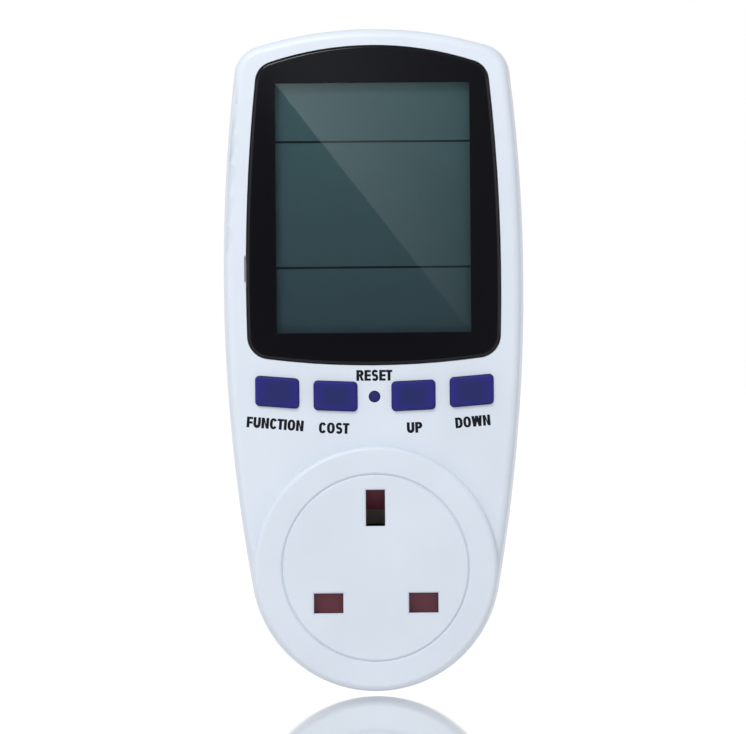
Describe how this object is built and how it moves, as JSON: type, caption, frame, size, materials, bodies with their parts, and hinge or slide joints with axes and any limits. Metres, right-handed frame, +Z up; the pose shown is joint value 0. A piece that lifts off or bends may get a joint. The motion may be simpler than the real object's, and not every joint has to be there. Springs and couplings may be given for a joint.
{
  "type": "plug-in power meter",
  "caption": "Plug-in mains power meter for a three-pin wall socket: tall display window over a row of keys, shuttered socket face below, plug pins behind.",
  "frame": {"origin": "centre of the round plug base, on the face that meets the wall socket", "axes": "+Z up towards the display, +Y out of the plug face along the pins, -Y out of the display and socket face, +X to the right of someone reading the display"},
  "size_m": [0.0704, 0.0627, 0.1555],
  "materials": {
    "white_shell": "satin",
    "carrier_plastic": "matte",
    "clear_window": "gloss",
    "bezel_plastic": "satin",
    "polariser_film": "gloss",
    "lcd_glass": "gloss",
    "reflector_film": "satin",
    "zebra_elastomer": "matte",
    "circuit_board": "satin",
    "black_epoxy": "gloss",
    "blue_silicone": "matte",
    "black_plastic": "matte",
    "tinned_metal": "satin",
    "capacitor_case": "satin",
    "capacitor_can": "satin",
    "varistor_coating": "satin",
    "chip_package": "matte",
    "nickel_cells": "satin",
    "battery_film": "gloss",
    "contact_brass": "satin",
    "pin_brass": "polished",
    "shunt_alloy": "satin",
    "lead_insulation": "satin",
    "maroon_plastic": "matte",
    "spring_steel": "satin",
    "carbon_pill": "matte",
    "label_paper": "matte"
  },
  "bodies": {
    "meter_body": {"backup_battery": "nickel_cells", "battery_sleeve": "battery_film", "bridge_rectifier": "chip_package", "carrier_screws": "spring_steel", "contact_carrier": "carrier_plastic", "controller_blob": "black_epoxy", "display_bezel": "bezel_plastic", "display_board": "circuit_board", "display_board_screws": "spring_steel", "display_window": "clear_window", "dropper_capacitor": "capacitor_case", "earth_contact": "contact_brass", "earth_pin": "pin_brass", "front_housing": "white_shell", "housing_screws": "spring_steel", "keypad_mat": "blue_silicone", "keypad_skirts": "blue_silicone", "lcd_frame": "black_plastic", "lcd_front_glass": "lcd_glass", "lcd_front_polariser": "polariser_film", "lcd_rear_glass": "lcd_glass", "lcd_reflector": "reflector_film", "link_header": "black_plastic", "link_pins": "tinned_metal", "link_socket": "black_plastic", "live_bar": "contact_brass", "live_contact": "contact_brass", "live_pin": "pin_brass", "live_pin_sleeve": "black_plastic", "metering_chip": "chip_package", "metering_crystal": "tinned_metal", "neutral_contact": "contact_brass", "neutral_pin": "pin_brass", "neutral_pin_sleeve": "black_plastic", "plug_base": "white_shell", "power_board": "circuit_board", "power_board_screws": "spring_steel", "rating_label": "label_paper", "rear_housing": "white_shell", "sense_leads": "lead_insulation", "shunt_resistor": "shunt_alloy", "shutter_spring": "spring_steel", "smoothing_capacitor": "capacitor_can", "socket_face": "white_shell", "varistor": "varistor_coating", "zebra_strip": "zebra_elastomer"},
    "key_function_body": {"key_function": "blue_silicone", "contact_pill_function": "carbon_pill"},
    "key_cost_body": {"key_cost": "blue_silicone", "contact_pill_cost": "carbon_pill"},
    "key_up_body": {"key_up": "blue_silicone", "contact_pill_up": "carbon_pill"},
    "key_down_body": {"key_down": "blue_silicone", "contact_pill_down": "carbon_pill"},
    "key_reset_body": {"key_reset": "blue_silicone", "contact_pill_reset": "carbon_pill"},
    "shutter_body": {"shutter": "maroon_plastic"}
  },
  "joints": [
    {"name": "function_key_press", "type": "slide", "parent": "meter_body", "child": "key_function_body", "axis": [0, 1, 0], "range_m": [0, 0.001], "stiffness_N_per_m": 1000, "deforming": ["keypad_skirts"]},
    {"name": "cost_key_press", "type": "slide", "parent": "meter_body", "child": "key_cost_body", "axis": [0, 1, 0], "range_m": [0, 0.001], "stiffness_N_per_m": 1000, "deforming": ["keypad_skirts"]},
    {"name": "up_key_press", "type": "slide", "parent": "meter_body", "child": "key_up_body", "axis": [0, 1, 0], "range_m": [0, 0.001], "stiffness_N_per_m": 1000, "deforming": ["keypad_skirts"]},
    {"name": "down_key_press", "type": "slide", "parent": "meter_body", "child": "key_down_body", "axis": [0, 1, 0], "range_m": [0, 0.001], "stiffness_N_per_m": 1000, "deforming": ["keypad_skirts"]},
    {"name": "reset_key_press", "type": "slide", "parent": "meter_body", "child": "key_reset_body", "axis": [0, 1, 0], "range_m": [0, 0.001], "stiffness_N_per_m": 1000, "deforming": ["keypad_skirts"]},
    {"name": "shutter_slide", "type": "slide", "parent": "meter_body", "child": "shutter_body", "axis": [0, 0, 1], "range_m": [0, 0.0048], "stiffness_N_per_m": 150, "springref_m": -0.003, "deforming": ["shutter_spring"]}
  ]
}
